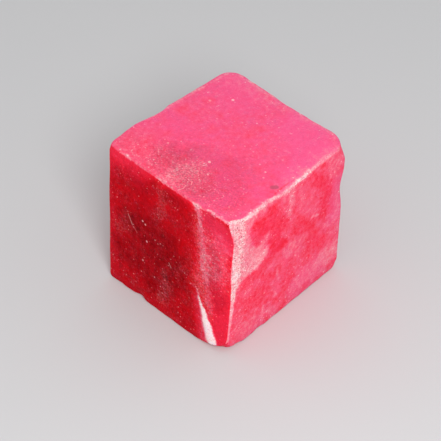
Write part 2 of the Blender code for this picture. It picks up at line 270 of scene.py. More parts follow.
EAST_VEIL = (
    # Clear red, and paler places.
    (0.27, 0.95, 0.7, 0.4, ((-5, 13.9, 0.1), (-3.9, 13.2, 0.4), (-2.8, 12.2, 0.4))),
    (0.28, 0.9, 0.8, 0.5, ((-2.2, 13.9, 0.3), (-1.2, 12.2, 0.4), (-0.8, 10.9, 0.3))),
    (0.2, 0.9, 0.8, 0.4, ((-1.8, 10.2, 0.4), (-0.8, 9, 0.4))),
    (0.28, 0.9, 0.8, 0.5, ((3.8, 13.2, 0.3), (5.2, 11.9, 0.4), (4.9, 9, 0.5))),
    (0.32, 0.85, 0.9, 0.5, ((1.6, 9.6, 0.3), (2.7, 8.2, 0.5), (3.4, 6.8, 0.4))),
    (0.32, 0.8, 1, 0.5, ((3.6, 6.7, 0.4), (4.8, 5, 0.4))),
    (0.34, 0.8, 0.9, 0.5, ((-2, 5.8, 0.5), (-3.4, 4.4, 0.4), (-5.6, 5.2, 0.3))),
    (0.34, 0.7, 0.9, 0.5, ((0.4, 5.4, 0.4), (0.2, 3.4, 0.4))),
    (0.5, 0.8, 0.9, 0.4, ((1.6, 12.9, 0.3), (2.2, 11.2, 0.3))),
    (0.55, 0.7, 0.8, 0.4, ((0.6, 7.6, 0.3), (1, 6.6, 0.3))),
    (0.56, 0.8, 1.2, 0.4, ((2.1, 2.2, 0.5), (3.9, 2.4, 0.5))),
    (0.54, 0.8, 0.8, 0.4, ((0.8, 7.7, 0.2), (2.4, 7.3, 0.2))),
    (0.66, 0.8, 1.2, 0.4, ((5.3, 2.8, 0.5), (6.9, 2.4, 0.4))),
    (0.56, 0.7, 0.9, 0.4, ((5.8, 13.9, 0.3), (6.6, 13.2, 0.3))),
    (0.54, 0.7, 1.1, 0.4, ((-5.2, 1, 0.3), (-4.4, 2, 0.3))),
    (0.56, 0.8, 0.7, 0.3, ((6.9, 10.2, 0.1), (6.9, 7, 0.1))),
    # The scooped patch beside the front band, a painted highlight along its lower border, and the
    # clear red around its end.
    (0.62, 0.9, 0.9, 0.3, ((-5.6, 11.6, 0.1), (-4.3, 10.6, 0.3), (-3.4, 9.7, 0.4))),
    (0.68, 0.9, 0.7, 0.3, ((-5.4, 10.4, 0.4), (-4.2, 9.4, 0.5), (-5.4, 9, 0.3))),
    (0.76, 0.75, 0.45, 0.2, ((-2.5, 9.8, 0), (-3, 9, 0.15), (-3.6, 8.65, 0.2))),
    (0.76, 0.75, 0.4, 0.2, ((-3.6, 8.65, 0.2), (-4.5, 8.6, 0.15), (-5.8, 8.4, 0.1))),
    (0.7, 0.6, 0.5, 0.3, ((-3.2, 10.6, 0.05), (-4.6, 9.4, 0.1))),
    (0.62, 0.5, 0.6, 0.3, ((-3.2, 10.6, 0.05), (-2.6, 11.5, 0))),
    (0.28, 0.95, 0.6, 0.3, ((-1.6, 10.9, 0.1), (-1.4, 9.6, 0.2), (-2, 8.3, 0.1))),
    (0.33, 0.85, 0.5, 0.2, ((-2.1, 8, 0.15), (-3.3, 7.5, 0.2), (-5.6, 7.3, 0.15))),
    (0.3, 0.9, 0.5, 0.2, ((-4.9, 12.7, 0.1), (-4.1, 12, 0.2), (-3.7, 11.3, 0.1))),
    # Pale streaks.
    (0.6, 0.7, 0.5, 0.2, ((0.39, 14.2, 0.1), (0.49, 12.6, 0.15), (0.15, 11.8, 0.1))),
    (0.74, 0.8, 0.18, 0.08, ((3.34, 9.36, 0.06), (4.17, 9.03, 0.07))),
    (0.62, 0.6, 0.18, 0.08, ((-1.02, 6.1, 0.05), (-0.83, 4.9, 0.05))),
    (0.6, 0.6, 0.16, 0.08, ((-2.79, 3.1, 0.04), (-2.78, 1.8, 0.04), (-2.82, 0.65, 0.04))),
    # The frosted front band, its tip, and the thin line that it ends in.
    (0.66, 0.85, 0.6, 0.2, ((-5.8, 14.9, 0.8), (-5, 14.6, 0.6), (-4.3, 14.9, 0.1))),
    (0.68, 0.9, 0.7, 0.2, ((-5.9, 14.2, 0.6), (-5.7, 12.8, 0.6), (-5.8, 11.4, 0.6))),
    (0.7, 0.9, 0.6, 0.2, ((-5.8, 11.4, 0.6), (-5.9, 10, 0.6), (-6.2, 8.4, 0.3))),
    (0.8, 1, 0.45, 0.16, ((-6.3, 15.2, 0.5), (-6.1, 14.3, 0.4), (-6, 13.5, 0.3))),
    (0.8, 1, 0.45, 0.14, ((-6, 13.5, 0.3), (-5.95, 12.7, 0.3), (-6.1, 11.8, 0.3))),
    (0.84, 1, 0.3, 0.1, ((-6.1, 11.8, 0.3), (-6.24, 11.1, 0.32), (-6.38, 9.2, 0.34))),
    (0.92, 1, 0.26, 0.08, ((-6.38, 10.2, 0.1), (-6.46, 9, 0.24), (-6.5, 8, 0.2))),
    (0.82, 1, 0.18, 0.08, ((-6.5, 8.2, 0.24), (-6.66, 7.3, 0.16), (-6.74, 6.6, 0.12))),
    (0.78, 0.95, 0.16, 0.06, ((-6.74, 6.6, 0.12), (-6.82, 5.6, 0.1), (-6.95, 4.3, 0.07))),
    (0.72, 0.9, 0.14, 0.05, ((-6.95, 4.3, 0.07), (-7.12, 3, 0.05), (-7.3, 1.2, 0.03))),
)
TOP_VEIL = (
    # Hazes and clearer places.
    (0.42, 0.8, 2, 0.6, ((-4.9, -1.3, 0.8), (-3.6, -1, 0.8), (-2.6, -2.6, 0.5))),
    (0.38, 0.8, 1.8, 0.6, ((2.2, -2.2, 0.5), (5, -4.6, 0.6))),
    (0.43, 0.6, 1.6, 0.6, ((-1, 1.6, 0.5), (1.4, 0.6, 0.5))),
    (0.41, 0.8, 1.2, 0.5, ((5.4, 0.2, 0.4), (5.9, -2.4, 0.4))),
    (0.57, 0.7, 1.4, 0.5, ((6.9, 6.5, 0.5), (7, 1, 0.1))),
    (0.58, 0.7, 1.2, 0.5, ((-6.8, 6.9, 0.6), (5, 7.6, 0.2))),
    (0.55, 0.6, 1, 0.4, ((-7.2, 4, 0.2), (-7.2, -4, 0.1))),
    (0.61, 0.65, 1.1, 0.3, ((-0.26, -6.8, 0.3), (-0.21, -5.7, 0.5), (-0.1, -4.6, 0.3))),
    (0.64, 0.4, 0.5, 0.2, ((-0.1, -4.8, 0.2), (0.1, -3.6, 0.1), (0.5, -2.8, 0.02))),
    (0.55, 0.5, 1, 0.3, ((0.6, -6.1, 0.3), (0.9, -5.1, 0.3), (1.1, -4.2, 0.2))),
    (0.62, 0.6, 0.14, 0.05, ((4, 2.9, 0.04), (4.47, 3, 0.04))),
    (0.64, 0.6, 0.7, 0.3, ((7.1, 6.2, 0.1), (7.2, 1.2, 0.2), (7.3, -1, 0.02))),
)
NEAR_EDGES_VEIL = (
    # The brow, frosted and painted white as a highlight where it catches the key light.
    (0.92, 1, 0.18, 0.12, ((6.9, -6.85, 15.36, 0.08), (7.3, -6.2, 15.25, 0.12))),
    (0.92, 1, 0.2, 0.16, ((7.3, -6.2, 15.25, 0.12), (7.45, -4.8, 15.14, 0.14))),
    (0.86, 0.95, 0.24, 0.2, ((7.45, -4.8, 15.14, 0.12), (7.45, -3.2, 15.14, 0.1))),
    (0.86, 0.95, 0.24, 0.2, ((7.45, -3.2, 15.14, 0.1), (7.44, -1.3, 14.96, 0.11))),
    (0.9, 1, 0.22, 0.14, ((7.44, -1.3, 14.96, 0.08), (7.4, 0, 14.8, 0.12))),
    (0.9, 1, 0.22, 0.14, ((7.4, 0, 14.8, 0.12), (7.36, 1.7, 15.04, 0.14))),
    (0.88, 1, 0.24, 0.12, ((7.36, 1.7, 15.04, 0.14), (7.3, 2.5, 15.12, 0.12))),
    (0.78, 0.95, 0.28, 0.12, ((7.3, 2.5, 15.12, 0.1), (7.18, 4.3, 15.18, 0.08))),
    (0.7, 0.9, 0.32, 0.12, ((7.18, 4.3, 15.18, 0.08), (7.1, 6.5, 15.16, 0.06))),
    (0.58, 0.5, 0.4, 0.12, ((7.4, -3.5, 14.8, 0.1), (7.4, 0.6, 14.5, 0.2))),
    # The pink that hangs over the south side, and its thin pale lip.
    (0.47, 1, 0.12, 0.04, ((-7, -6.85, 15.58, 0.1), (-4.3, -6.95, 15.55, 0.1))),
    (0.47, 1, 0.12, 0.04, ((-4.3, -6.95, 15.55, 0.1), (-0.7, -7.02, 15.38, 0.1))),
    (0.49, 1, 0.12, 0.04, ((-0.7, -7.02, 15.38, 0.1), (3.7, -7.05, 15.36, 0.1))),
    (0.6, 0.75, 0.14, 0.1, ((-7.1, -6.98, 15.52, 0.02), (-5.6, -7.01, 15.58, 0.04))),
    (0.78, 0.85, 0.16, 0.12, ((-5.5, -7.01, 15.54, 0.04), (-4.3, -7.07, 15.46, 0.06))),
    (0.66, 0.8, 0.14, 0.12, ((-4.3, -7.07, 15.48, 0.04), (-3.07, -7.12, 15.4, 0.03))),
    (0.64, 0.75, 0.12, 0.08, ((-3.07, -7.12, 15.42, 0.02), (-1.2, -7.11, 15.3, 0.03))),
    (0.84, 0.9, 0.2, 0.12, ((-1.2, -7.11, 15.34, 0.04), (-0.5, -7.11, 15.31, 0.09))),
    (0.7, 0.8, 0.18, 0.12, ((-0.5, -7.11, 15.31, 0.04), (0.8, -7.11, 15.24, 0.06))),
    (0.62, 0.8, 0.13, 0.08, ((0.8, -7.11, 15.24, 0.03), (2.9, -7.13, 15.27, 0.03))),
    (0.86, 0.95, 0.18, 0.12, ((3.1, -7.13, 15.27, 0.04), (3.75, -7.14, 15.22, 0.16))),
    (0.68, 0.8, 0.13, 0.08, ((3.9, -7.12, 15.3, 0.04), (4.7, -7.01, 15.39, 0.04))),
    (0.84, 0.95, 0.16, 0.2, ((4.7, -7.01, 15.39, 0.02), (5.9, -6.89, 15.38, 0.06))),
    (0.78, 0.95, 0.16, 0.16, ((5.9, -6.89, 15.38, 0.04), (6.9, -6.88, 15.36, 0.08))),
)
WEST_VEIL = (
    (0.42, 0.7, 1.4, 0.6, ((-3, 12, 0.2), (-1, 9, 0.3))),
    (0.04, 0.8, 2.4, 0.6, ((-2, 6, 0.6), (1, 8, 0.6))),
    (0.3, 0.8, 1.4, 0.5, ((-7.4, 15, 0.3), (7.4, 15, 0.3))),
    (0.36, 0.8, 1.6, 0.5, ((7.2, 14, 0.4), (7.2, 1, 0.4))),
    (0.38, 0.6, 1.4, 0.6, ((2, 4.5, 0.3), (5, 2.6, 0.5))),
    (0.62, 0.7, 0.3, 0.2, ((4.6, 12.6, 0.02), (3.9, 9.6, 0.08), (3.7, 7.4, 0.02))),
    (0.55, 0.6, 0.3, 0.2, ((-5, 4.6, 0.02), (-4.2, 2.4, 0.06), (-4, 1, 0.02))),
)
NORTH_VEIL = (
    (0.58, 0.8, 1.5, 0.6, ((-4, 13, 0.6), (-5, 9.5, 0.4))),
    (0.2, 0.9, 1.6, 0.6, ((3, 11, 0.7), (4.5, 7.5, 0.5))),
    (0.18, 0.8, 1.6, 0.6, ((-3.5, 3, 0.5), (0.5, 2.2, 0.6))),
    (0.6, 0.7, 1.3, 0.6, ((5.6, 3.4, 0.3), (6.2, 1, 0.4))),
    (0.74, 0.8, 0.4, 0.2, ((0.6, 13.8, 0.02), (1.2, 10.8, 0.12), (1, 8.4, 0.02))),
)
FAR_EDGES_VEIL = (
    (0.76, 0.85, 0.22, 0.14, ((-6.6, 6.9, 15.3, 0.06), (-6.9, 3, 15.4, 0.04))),
    (0.7, 0.8, 0.2, 0.14, ((-6.9, 3, 15.4, 0.03), (-7, -3, 15.5, 0.03))),
    (0.74, 0.85, 0.22, 0.14, ((-5.6, 7.6, 15.3, 0.04), (0, 7.6, 15.25, 0.06))),
    (0.66, 0.8, 0.2, 0.14, ((0, 7.6, 15.25, 0.04), (6, 7.3, 15.2, 0.03))),
    (0.74, 0.85, 0.24, 0.14, ((-6.9, 7.3, 12.5, 0.02), (-6.9, 7.3, 7, 0.1))),
    (0.66, 0.8, 0.24, 0.14, ((-6.9, 7.3, 7, 0.06), (-6.9, 7.3, 2, 0.02))),
)
BASE_VEIL = (
    (0.44, 0.7, 2.2, 0.8, ((-3.4, -2.6, 0.6), (-2, 1, 0.8))),
    (0.08, 0.85, 2, 0.8, ((3, 1.6, 0.4), (5, 3.6, 0.6), (3.6, 5.6, 0.3))),
    (0.54, 0.75, 1.2, 0.6, ((-1, 4.8, 0.3), (1.2, 5.8, 0.4))),
    (0.72, 0.85, 0.3, 0.2, ((-5.4, -3, 0.02), (-1.8, -0.6, 0.1), (0.6, 3, 0.02))),
    (0.58, 0.8, 0.45, 0.3, ((-6.9, -6.6, 0.1), (-6.8, 0, 0.05), (-6.6, 6.4, 0.15))),
    (0.62, 0.8, 0.4, 0.3, ((-6.4, 7, 0.15), (0, 7.3, 0.05), (5.6, 7, 0.15))),
    (0.14, 0.6, 1.8, 0.8, ((4, -4, 0.5), (5, -5, 0.5))),
)
# Painted shade on the south side: darkest in its middle and lighter at its rims and towards the
# fold and the front edge, where it stands in for light coming through the stone, and none on the
# splinter or at the fold's top.
SOUTH_PAINTED_SHADE = (
    (0.64, 1, 2.8, 0.6, ((-3.6, 8.6, 0.3), (-1.6, 8.2, 0.8), (0.2, 8.2, 0.5))),
    (0.64, 1, 2.2, 0.6, ((-1.4, 7.2, 0.6), (0.6, 6, 0.7), (0.2, 4.6, 0.4))),
    (0.6, 1, 2.2, 0.6, ((-5.4, 4.6, 0.4), (-3.4, 4.4, 0.6), (-1.2, 3.4, 0.6))),
    (0.04, 1, 2.6, 0.5, ((-7, 15.6, 0.8), (-5, 15.5, 0.3), (-3.6, 15.5, 0))),
    (0.1, 1, 1.1, 0.4, ((-4, 15.5, 0.1), (0, 15.4, 0.1), (3.6, 15.3, 0))),
    (0.4, 1, 1.2, 0.3, ((-7.1, 12, 0.2), (-7.1, 1, 0.1))),
    (0.42, 1, 1.2, 0.3, ((-6.6, 0.1, 0.2), (2, 0.1, 0.2))),
    (0.16, 1, 2.4, 0.5, ((4.3, 15.2, 0), (4.9, 11, 0.4), (5.2, 8, 0.5))),
    (0.18, 1, 1.8, 0.4, ((4.8, 8, 0.2), (4.6, 5, 0.1), (5.4, 1, 0.4))),
    (0.1, 1, 1, 0.2, ((6.4, 14.4, 0.6), (6.7, 8, 0.8), (6.7, 1, 0.9))),
    (0.29, 0.9, 0.7, 0.3, ((5.4, 11.4, 0.1), (5.6, 9.4, 0.3), (5.5, 7, 0.2))),
    (0.3, 0.8, 0.8, 0.3, ((5.5, 7, 0.1), (6.2, 6.4, 0.3), (6.2, 5.2, 0.1))),
    (0, 1, 0.3, 0.1, ((4.2, 5.05, 0), (4.72, 3.97, 0.1), (5.8, 0.9, 0.36))),
    (0, 1, 0.6, 0.1, ((3, 15.3, 0.1), (3.8, 15.3, 0.2))),
)
# Darker places on the top.
TOP_DARKENING = (
    (0.2, 1, 2.4, 0.6, ((-1.8, -4.6, 0.6), (-0.4, -3.8, 0.8), (2.4, -5.2, 0.8))),
    (0.12, 0.9, 2.2, 0.6, ((1, -3, 0.8), (2.8, -2.1, 0.8), (5.2, -5.4, 0.3))),
)
WEST_DEPTH = (
    (0.55, 1, 2.6, 0.6, ((-2, 6, 0.6), (1, 8, 0.8))),
    (0.05, 0.9, 1.4, 0.4, ((-7.4, 15.2, 0.3), (7.4, 15.2, 0.3))),
    (0.1, 0.9, 1.4, 0.4, ((7.4, 14, 0.4), (7.4, 1, 0.3))),
    (0.4, 0.9, 1.6, 0.4, ((4, 3, 0.4), (5, 5, 0.3))),
)
BASE_DEPTH = (
    (0.42, 1, 2.6, 0.8, ((3, 1.6, 0.4), (5, 3.6, 0.6))),
    (0.02, 0.9, 1, 0.4, ((-6.9, -6.6, 0.1), (-6.6, 6.8, 0.15), (6, 7, 0.1))),
)
SOUTH_SPARKLE = (
    (0.2, 0.9, 1.6, 0.4, ((-7, 15, 0.6), (-4, 15, 0.3), (3, 15.2, 0))),
    (1, 0.9, 0.9, 0.3, ((3.7, 15.2, 0), (4.1, 12.5, 0.2), (4.7, 9, 0.4))),
    (0.6, 0.9, 1.2, 0.3, ((5, 12.4, 0.2), (5.6, 10.4, 0.6), (5.9, 8, 0.5))),
    (1, 0.9, 0.9, 0.3, ((4.7, 9, 0.4), (4.3, 6.6, 0.5), (5.1, 3.8, 0.3))),
    (0.9, 0.9, 0.9, 0.4, ((-0.65, 14.2, 0.1), (-0.5, 13.2, 0.2), (-0.7, 11.2, 0.1))),
    (1, 0.9, 0.9, 0.4, ((-0.1, 4.9, 0.1), (0.16, 4, 0.3), (-0.4, 1.6, 0.1))),
    (0.85, 0.8, 0.8, 0.4, ((-5.7, 6.9, 0.2), (-4.8, 7.7, 0.2), (-4.7, 9, 0.1))),
    (0.7, 0.7, 1.2, 0.5, ((1.2, 6.2, 0.2), (2.6, 7, 0.3), (3, 9, 0.2))),
    (0.12, 0.9, 0.8, 0.3, ((6.6, 6, 0.3), (6.9, 1, 0.6))),
    (0.15, 0.9, 1.2, 0.4, ((-3.6, 13.4, 0.2), (-2.6, 12, 0.4))),
    (0.12, 0.9, 0.8, 0.3, ((5.4, 14.9, 0.2), (6.9, 12.8, 0.4))),
    (0, 0.9, 0.4, 0.1, ((4.6, 4.1, 0.2), (5.8, 0.6, 0.4))),
)
TOP_SPARKLE = (
    (0.55, 0.8, 2.6, 0.5, ((-5, -6.6, 0.6), (0, -5.8, 1.4), (5, -5.8, 1))),
    (0.7, 0.9, 1, 0.3, ((-0.3, -6.9, 0.3), (-0.2, -5.5, 0.5), (0.2, -3.4, 0.2))),
    (0.8, 0.8, 1, 0.3, ((0.6, -6.1, 0.2), (1.1, -4.2, 0.2))),
)
WEST_SPARKLE = (
    (1, 0.9, 1.2, 0.4, ((-3, 12, 0.2), (-1, 9, 0.3))),
)
NORTH_SPARKLE = (
    (0.9, 0.9, 1.2, 0.4, ((2.4, 3, 0.2), (4.4, 5.4, 0.3))),
)
EAST_SPARKLE = (
    (0.9, 0.9, 0.7, 0.3, ((-5.8, 14.6, 0.5), (-6, 11, 0.4), (-6.4, 7, 0.2))),
    (0.5, 0.8, 0.6, 0.3, ((-4.8, 10.4, 0.3), (-4.6, 9, 0.6))),
    (0.7, 0.8, 0.5, 0.2, ((0.4, 14.2, 0.1), (0.2, 11.8, 0.1))),
    (0.5, 0.8, 0.5, 0.2, ((-3.5, 15, 0.2), (3, 14.9, 0.2))),
    (0.35, 0.7, 1.4, 0.4, ((-6, 4, 0.4), (-3, 1.4, 0.8), (2, 1, 0.6))),
)
SOUTH_BLUSH = (
    (0.3, 0.9, 1.2, 0.3, ((4.6, 14.6, 0.2), (5.8, 13.8, 0.6), (6.5, 12.4, 0.4))),
    (0.14, 0.9, 2.2, 0.4, ((-6.8, 14.8, 0.6), (-3.6, 14.9, 0.4))),
    (0.16, 0.9, 1, 0.3, ((5.4, 7.6, 0.1), (6.3, 6.6, 0.4), (6.5, 1, 0.5))),
)
# The top's purple tint: a painted sky reflection.
TOP_BLUSH = (
    (0.2, 0.9, 2.5, 0.5, ((-5, -6, 1), (1, -5.6, 1))),
    (1.25, 1, 2.5, 0.5, ((3, 6, 1), (6.8, 4, 1), (6.8, 1.5, 0.3))),
    (1.1, 0.9, 2.2, 0.5, ((-5, 6, 0.8), (-3, 5, 0.8))),
    (1, 1, 1.4, 0.5, ((-4.85, -1.26, 0.3), (-4, -1, 0.3))),
)
EAST_BLUSH = (
    (0.5, 0.8, 1.5, 0.5, ((2.2, 2, 0.8), (4.4, 2.2, 0.8))),
    (0.8, 0.7, 1.2, 0.5, ((6.6, 11, 0.5), (6.7, 7.5, 0.5))),
    (0, 0.9, 1.6, 0.5, ((-5.6, 5.8, 0.6), (-4.6, 3.2, 0.9), (-6.2, 1, 0.6))),
)

# Each coat: what every side starts from, and the strokes in the order that they are laid, by the
# side that they keep to. Those along the edges may lie on any side.
COATS = {
    "veil": (
        VEILS_AND_SHEEN,
        ("south", SOUTH_VEIL),
        ("east", EAST_VEIL),
        ("top", TOP_VEIL),
        ("any", NEAR_EDGES_VEIL),
        ("west", WEST_VEIL),
        ("north", NORTH_VEIL),
        ("any", FAR_EDGES_VEIL),
        ("base", BASE_VEIL),
    ),
    "depth": (
        DEPTHS_AND_SHADE,
        ("south", SOUTH_PAINTED_SHADE),
        ("top", TOP_DARKENING),
        ("west", WEST_DEPTH),
        ("base", BASE_DEPTH),
    ),
    "sparkle": (
        SPARKLES,
        ("south", SOUTH_SPARKLE),
        ("top", TOP_SPARKLE),
        ("west", WEST_SPARKLE),
        ("north", NORTH_SPARKLE),
        ("east", EAST_SPARKLE),
    ),
    "blush": (
        BLUSHES,
        ("south", SOUTH_BLUSH),
        ("top", TOP_BLUSH),
        ("east", EAST_BLUSH),
    ),
}
RAGGED = ((0.9, 1.0), (0.22, 0.9))  # the waves in a stroke's border: their size and height
SEED = 7  # where those waves start

# Small marks in the colour alone, by the side that they are on: the two ends, as places on the
# side, the half width, how softly the mark ends, and how strong it is.
LIGHT_MARKS = {
    "south": (
        ((2.63, 6.51), (2.65, 6.53), 0.02, 0.06, 0.6),
        ((3.09, 6.15), (3.17, 6.15), 0.02, 0.06, 0.75),
        ((3.49, 6.3), (3.51, 6.32), 0.02, 0.06, 0.7),
        ((3.75, 6.21), (3.77, 6.23), 0.03, 0.06, 0.85),
        ((3.89, 6.05), (3.95, 5.95), 0.03, 0.06, 0.85),
        ((4.32, 7.67), (4.34, 7.69), 0.02, 0.06, 0.7),
        ((4.59, 7.27), (4.61, 7.29), 0.03, 0.06, 0.8),
        ((4.71, 7.67), (4.73, 7.69), 0.02, 0.06, 0.7),
        ((5.02, 7.21), (5.04, 7.23), 0.03, 0.06, 0.8),
        ((5.13, 7.0), (5.15, 7.02), 0.02, 0.06, 0.7),
        ((4.11, 5.68), (4.13, 5.7), 0.02, 0.06, 0.8),
        ((-4.62, 9.2), (-4.1, 8.25), 0.02, 0.08, 0.8),
        ((-3.92, 8.12), (-3.52, 7.66), 0.015, 0.07, 0.55),
        ((0.48, 6.78), (0.75, 6.37), 0.02, 0.07, 0.45),
        ((-2.81, 9.51), (-2.79, 9.49), 0.05, 0.09, 0.95),
        ((-2.48, 9.3), (-2.46, 9.28), 0.05, 0.09, 0.9),
        ((-2.31, 7.43), (-2.29, 7.41), 0.05, 0.09, 0.7),
        ((-1.92, 8.48), (-1.9, 8.46), 0.02, 0.07, 0.6),
        ((0.38, 13.97), (0.4, 13.95), 0.02, 0.07, 0.6),
        ((2.28, 13.79), (2.3, 13.77), 0.02, 0.07, 0.6),
        ((-3.66, 11.89), (-3.64, 11.87), 0.02, 0.06, 0.5),
        ((-2.8, 4.88), (-2.78, 4.9), 0.06, 0.09, 0.35),
        ((-3.95, 2.46), (-3.93, 2.48), 0.02, 0.07, 0.45),
    ),
    "top": (
        ((0.63, -2.66), (0.67, -2.66), 0.05, 0.11, 0.8),
        ((-3.68, 4.67), (-3.66, 4.67), 0.06, 0.11, 0.85),
        ((-5.04, 3.16), (-5.02, 3.16), 0.03, 0.14, 0.4),
        ((1.66, -3.87), (1.68, -3.87), 0.03, 0.07, 0.6),
        ((4.82, -0.26), (4.86, -0.24), 0.03, 0.08, 0.6),
        ((5.18, -0.87), (5.22, -0.87), 0.03, 0.1, 0.35),
        ((-3.54, -3.45), (-3.52, -3.43), 0.03, 0.1, 0.4),
        ((2.96, 4.9), (2.98, 4.9), 0.03, 0.11, 0.25),
        ((1.25, -6.95), (1.44, -6.5), 0.008, 0.06, 0.5),
        ((1.44, -6.5), (1.3, -6.15), 0.008, 0.06, 0.35),
        ((1.56, -5.72), (1.34, -5.4), 0.008, 0.06, 0.45),
        ((-0.8, -6.5), (0.1, -6.1), 0.008, 0.06, 0.3),
    ),
    "east": (
        ((-2.66, 4.3), (-2.64, 4.32), 0.03, 0.08, 0.4),
    ),
}
DARK_MARKS = {"top": (((6.56, -1.2), (6.74, -0.98), 0.1, 0.24, 0.56),)}
FLATTEN = 0.15  # a mark counts its distance from its side this much, so that relief can't hide it


class RubyShape(bpy.types.PropertyGroup):
    """The sizes of the stone's fine surface"""

    relief: FloatProperty(
        name="Relief",
        description="How strongly the sides wander from flat, as a share of the stone's own wander",
        default=1.0,
        min=0.0,
        max=2.0,
        subtype="FACTOR",
    )
    grain: FloatProperty(
        name="Grain",
        description="The height of the finest grain, which is drawn as bump",
        default=0.012 * MM,
        min=0.0,
        precision=6,
        subtype="DISTANCE",
        unit="LENGTH",
    )
    glow_reach: FloatProperty(
        name="Glow reach",
        description="How far red light travels through the stone",
        default=2.4 * MM,
        min=0.0,
        precision=5,
        subtype="DISTANCE",
        unit="LENGTH",
    )


def colour(name, description, default):
    """A setting for a colour."""
    return FloatVectorProperty(
        name=name, description=description, default=default, min=0.0, max=1.0, subtype="COLOR"
    )


class RubyColours(bpy.types.PropertyGroup):
    """The colours of the stone, from clear to frosted"""

    # Deep and red are the clear stone in painted shade and in painted light: deep lies where the
    # veil is thinnest, most of all on the south side, which faces away from the key light.
    deep: colour("Deep", "The stone where it is clear and dark", (0.84, 0.0015, 0.007))
    red: colour("Red", "The stone where it is clear and lit", (0.93, 0.022, 0.055))
    pink: colour("Pink", "The stone under a thin veil", (0.95, 0.105, 0.19))
    rose: colour("Rose", "The stone under a thick veil", (0.94, 0.31, 0.37))
    blush: colour(
        "Blush", "The purple pink that the stone's thin veil turns to in places", (0.93, 0.12, 0.34)
    )
    speck: colour("Speck", "The dull speck in the top", (0.3, 0.08, 0.1))
    mist: colour("Mist", "The dull pink of fine grains in the stone", (0.84, 0.27, 0.29))
    # The colour of the painted glints on the brightest grains; the small pale marks share it.
    glint: colour("Glint", "The brightest grains and the small marks", (1.0, 0.56, 0.56))
    frost: colour("Frost", "The stone where it is white with frost", (1.0, 0.76, 0.76))


class RubyStage(bpy.types.PropertyGroup):
    """The stage that the stone stands on"""

    floor: colour("Floor", "The floor's colour", (0.62, 0.62, 0.63))
    key: FloatProperty(
        name="Key light",
        description="The power of the large soft light from the east",
        default=0.13,
        min=0.0,
        unit="POWER",
    )
    fill: FloatProperty(
        name="Fill",
        description="How bright the even light from all around is",
        default=0.66,
        min=0.0,
    )


def ease(share):
    """A smooth step from 0 to 1."""
    share = min(max(share, 0.0), 1.0)
    return share * share * (3 - 2 * share)


def read(line, at):
    """Reads a line of (place, value, ...) points at a place. Past its ends it stays level."""
    if at <= line[0][0]:
        return line[0][1:]
    for (low, *before), (high, *after) in zip(line, line[1:]):
        if at <= high:
            share = (at - low) / (high - low)
            return [first + (last - first) * share for first, last in zip(before, after)]
    return line[-1][1:]


def side_plane(side):
    """The way a side faces, and how far out it stands."""
    axis, way, reach, *leans = SIDES[side]
    normal = Vector((0, 0, 0))
    normal[axis] = way
    for other, lean in zip([i for i in range(3) if i != axis], leans):
        normal[other] = math.tan(math.radians(lean))
    return normal.normalized(), reach


def corner(*sides):
    """Where three sides meet."""
    normals, reaches = zip(*(side_plane(side) for side in sides))
    return Matrix(normals).inverted() @ Vector(reaches)


def crowded(place):
    """Moves a place nearer to its end of the grid, so that the edges get finer faces."""
    quarter = CROWDING * math.pi / 2
    return math.sin(place * quarter) / math.sin(quarter)


def column(side, place, height):
    """How far across a side a column of the grid lies at a height, and how deep it is set."""
    creases = [(crowded(at), *read(line, height)) for at, line in CREASES[side].items()]
    return read(creases, crowded(place))


def row(place, east, north):
    """The height of a row of the grid, and its share of the ledge's depth."""
    ends = [(-1, *LEDGE_HEIGHTS["south"]), (1, *LEDGE_HEIGHTS["north"])]
    west_end, east_end = read(ends, north)
    lip, = read([(-1, west_end), (1, east_end)], east)
    rows = [(-1, 0, 0), (crowded(-STEP), lip - LEDGE_DROP, 1), (0, lip, 0), (1, HEIGHT, 0)]
    return read(rows, crowded(place))


def wobble(point, size):
    """A smooth wander between about -1 and 1."""
    return noise.noise(Vector(point) / size)


def round_rim(inset, drop, radius):
    """Turns the sharp rim, where inset or drop is 0, into an arc."""
    if inset >= radius or drop >= radius:
        return inset, drop
    across = radius - inset
    down = radius - drop
    length = math.hypot(across, down)
    return radius - across * radius / length, radius - down * radius / length


def upright_radius(edge, z):
    """How far an upright edge is rounded at a height."""
    top, middle, foot = UPRIGHTS[edge]
    at_top = ease(1 - (HEIGHT - z) / (TAPER * top))
    at_foot = ease(1 - z / (TAPER * foot))
    return middle + (top - middle) * at_top + (foot - middle) * at_foot


def foot_radius(x, y):
    """How far the foot's rim is rounded at a place."""
    away = math.hypot(x - HALF_WIDTH, y + HALF_DEPTH)
    return FOOT_RIM + (WORN_TOE - FOOT_RIM) * ease(1 - away / TOE_REACH)


def worn(x, y, z):
    """Where a point of the sharp block lies once its edges are worn."""
    wider = 1 + RIM_WOBBLE * wobble((x, y, z), WOBBLE_SIZE)
    sharp_inset = min(HALF_WIDTH - abs(x), HALF_DEPTH - abs(y))
    inset, drop = round_rim(sharp_inset, HEIGHT - z, TOP_RIM * wider)
    inset, rise = round_rim(inset, HEIGHT - drop, foot_radius(x, y) * wider)
    edge = ("east" if x > 0 else "west", "north" if y > 0 else "south")
    radius = upright_radius(edge, z) * (1 + EDGE_WOBBLE * wobble((x, y, z), 2 * WOBBLE_SIZE))
    across = abs(x) - (HALF_WIDTH - radius)
    along = abs(y) - (HALF_DEPTH - radius)
    if across > 0 and along > 0:
        scale = (radius - inset) / math.hypot(across, along)
        across *= scale
        along *= scale
    elif HALF_WIDTH - abs(x) <= sharp_inset:
        across += sharp_inset - inset
    else:
        along += sharp_inset - inset
    x = math.copysign(HALF_WIDTH - radius + across, x)
    y = math.copysign(HALF_DEPTH - radius + along, y)
    return Vector((x, y, rise))


